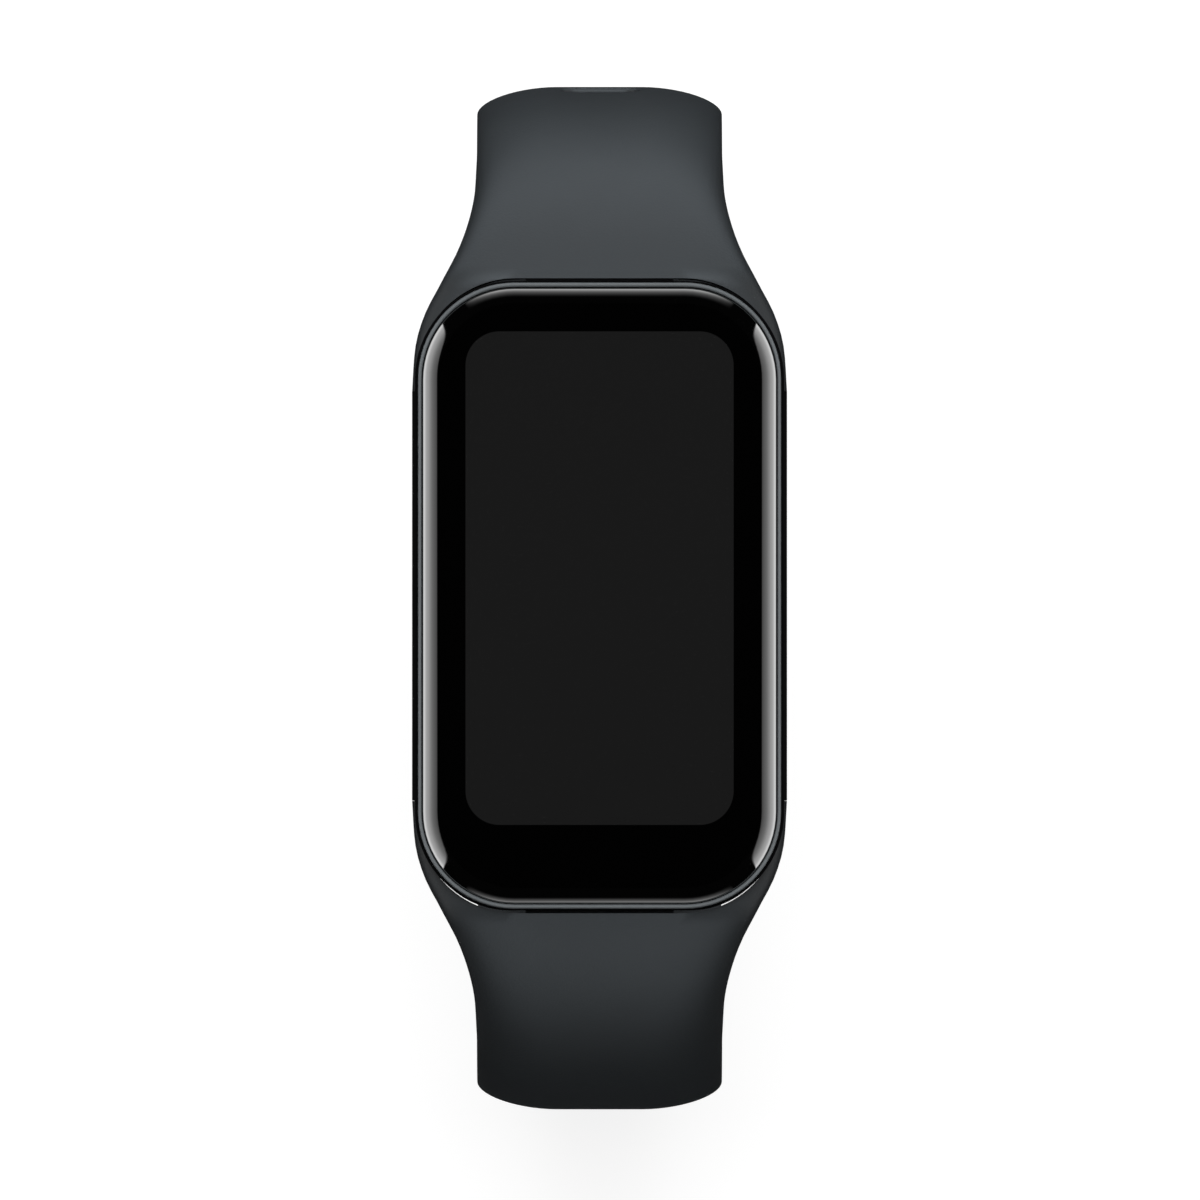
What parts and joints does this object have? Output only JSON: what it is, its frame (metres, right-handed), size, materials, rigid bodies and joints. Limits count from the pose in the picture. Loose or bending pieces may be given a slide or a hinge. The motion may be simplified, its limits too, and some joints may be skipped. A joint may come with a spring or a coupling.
{
  "type": "fitness tracker band",
  "caption": "Slim wrist band with a sealed touch-display case, two curved soft straps that flex and unclip, a pin buckle with tongue, and a sliding keeper loop.",
  "frame": {"origin": "on the surface the band stands on, under the middle of the case", "axes": "+Z out of the display, +Y along the case towards the tail strap, +X across the case"},
  "size_m": [0.0252, 0.0694, 0.0586],
  "materials": {
    "case_plastic": "polished black",
    "cover_glass": "black-printed cover glass, polished; opaque because of the print",
    "strap_rubber": "fine matte",
    "buckle_plastic": "satin",
    "steel": "bright",
    "contact_plating": "gold plated",
    "seal_rubber": "matte",
    "display_panel": "dark glass stack",
    "clear_adhesive": "clear film",
    "white_plastic": "satin white",
    "chassis_plastic": "glass-filled matte",
    "circuit_board": "solder mask",
    "chip_plastic": "moulded matte",
    "flex_film": "amber film",
    "battery_foil": "foil pouch",
    "antenna_ceramic": "matte",
    "led_resin": "clear green resin",
    "sensor_window": "dark polished window"
  },
  "bodies": {
    "case": {"case_frame": "case_plastic", "cover_glass": "cover_glass", "glass_gasket": "seal_rubber", "optical_adhesive": "clear_adhesive", "display_panel": "display_panel", "display_backlight": "white_plastic", "display_flex": "flex_film", "inner_chassis": "chassis_plastic", "circuit_board": "circuit_board", "processor": "chip_plastic", "memory_chip": "chip_plastic", "motion_sensor": "chip_plastic", "radio_antenna": "antenna_ceramic", "shield_can": "steel", "board_screw_left": "steel", "board_screw_right": "steel", "battery": "battery_foil", "battery_flex": "flex_film", "vibration_motor": "steel", "back_cover": "case_plastic", "back_cover_gasket": "seal_rubber", "sensor_window": "sensor_window", "sensor_board": "circuit_board", "sensor_lamp_front": "led_resin", "sensor_lamp_back": "led_resin", "photodiode": "chip_plastic", "light_barrier": "chassis_plastic", "charging_contact_left": "contact_plating", "charging_contact_right": "contact_plating", "strap_connector_tail": "chassis_plastic", "strap_connector_buckle": "chassis_plastic", "latch_spring_tail": "steel", "latch_spring_buckle": "steel"},
    "latch_tail": {"release_latch_tail": "buckle_plastic"},
    "latch_buckle": {"release_latch_buckle": "buckle_plastic"},
    "tail": {"tail_strap": "strap_rubber"},
    "buckle_side": {"buckle_strap": "strap_rubber"},
    "buckle": {"buckle_frame": "buckle_plastic", "buckle_pin": "steel"},
    "tongue": {"buckle_tongue": "buckle_plastic"},
    "keeper": {"keeper_loop": "strap_rubber"}
  },
  "joints": [
    {"name": "tail_flex", "type": "hinge", "parent": "case", "child": "tail", "pos_m": [0, 0.02142, 0.05766], "axis": [1, 0, 0], "range_deg": [0, 45], "stiffness_Nm_per_rad": 0.03},
    {"name": "buckle_strap_flex", "type": "hinge", "parent": "case", "child": "buckle_side", "pos_m": [0, -0.02142, 0.05766], "axis": [-1, 0, 0], "range_deg": [0, 45], "stiffness_Nm_per_rad": 0.03},
    {"name": "buckle_swivel", "type": "hinge", "parent": "buckle_side", "child": "buckle", "pos_m": [0, -0.00702, 0.01492], "axis": [1, 0, 0], "range_deg": [-25, 40]},
    {"name": "tongue_swing", "type": "hinge", "parent": "buckle", "child": "tongue", "pos_m": [0, -0.00702, 0.01492], "axis": [-1, 0, 0], "range_deg": [0, 90]},
    {"name": "keeper_slide", "type": "hinge", "parent": "buckle_side", "child": "keeper", "pos_m": [0, -0.01362, 0.03359], "axis": [1, 0, 0], "range_deg": [-30, 5]},
    {"name": "latch_tail_slide", "type": "slide", "parent": "case", "child": "latch_tail", "axis": [0, 1, 0], "range_m": [0, 0.0008], "stiffness_N_per_m": 200, "springref_m": -0.0008, "deforming": ["latch_spring_tail"]},
    {"name": "latch_buckle_slide", "type": "slide", "parent": "case", "child": "latch_buckle", "axis": [0, -1, 0], "range_m": [0, 0.0008], "stiffness_N_per_m": 200, "springref_m": -0.0008, "deforming": ["latch_spring_buckle"]}
  ]
}
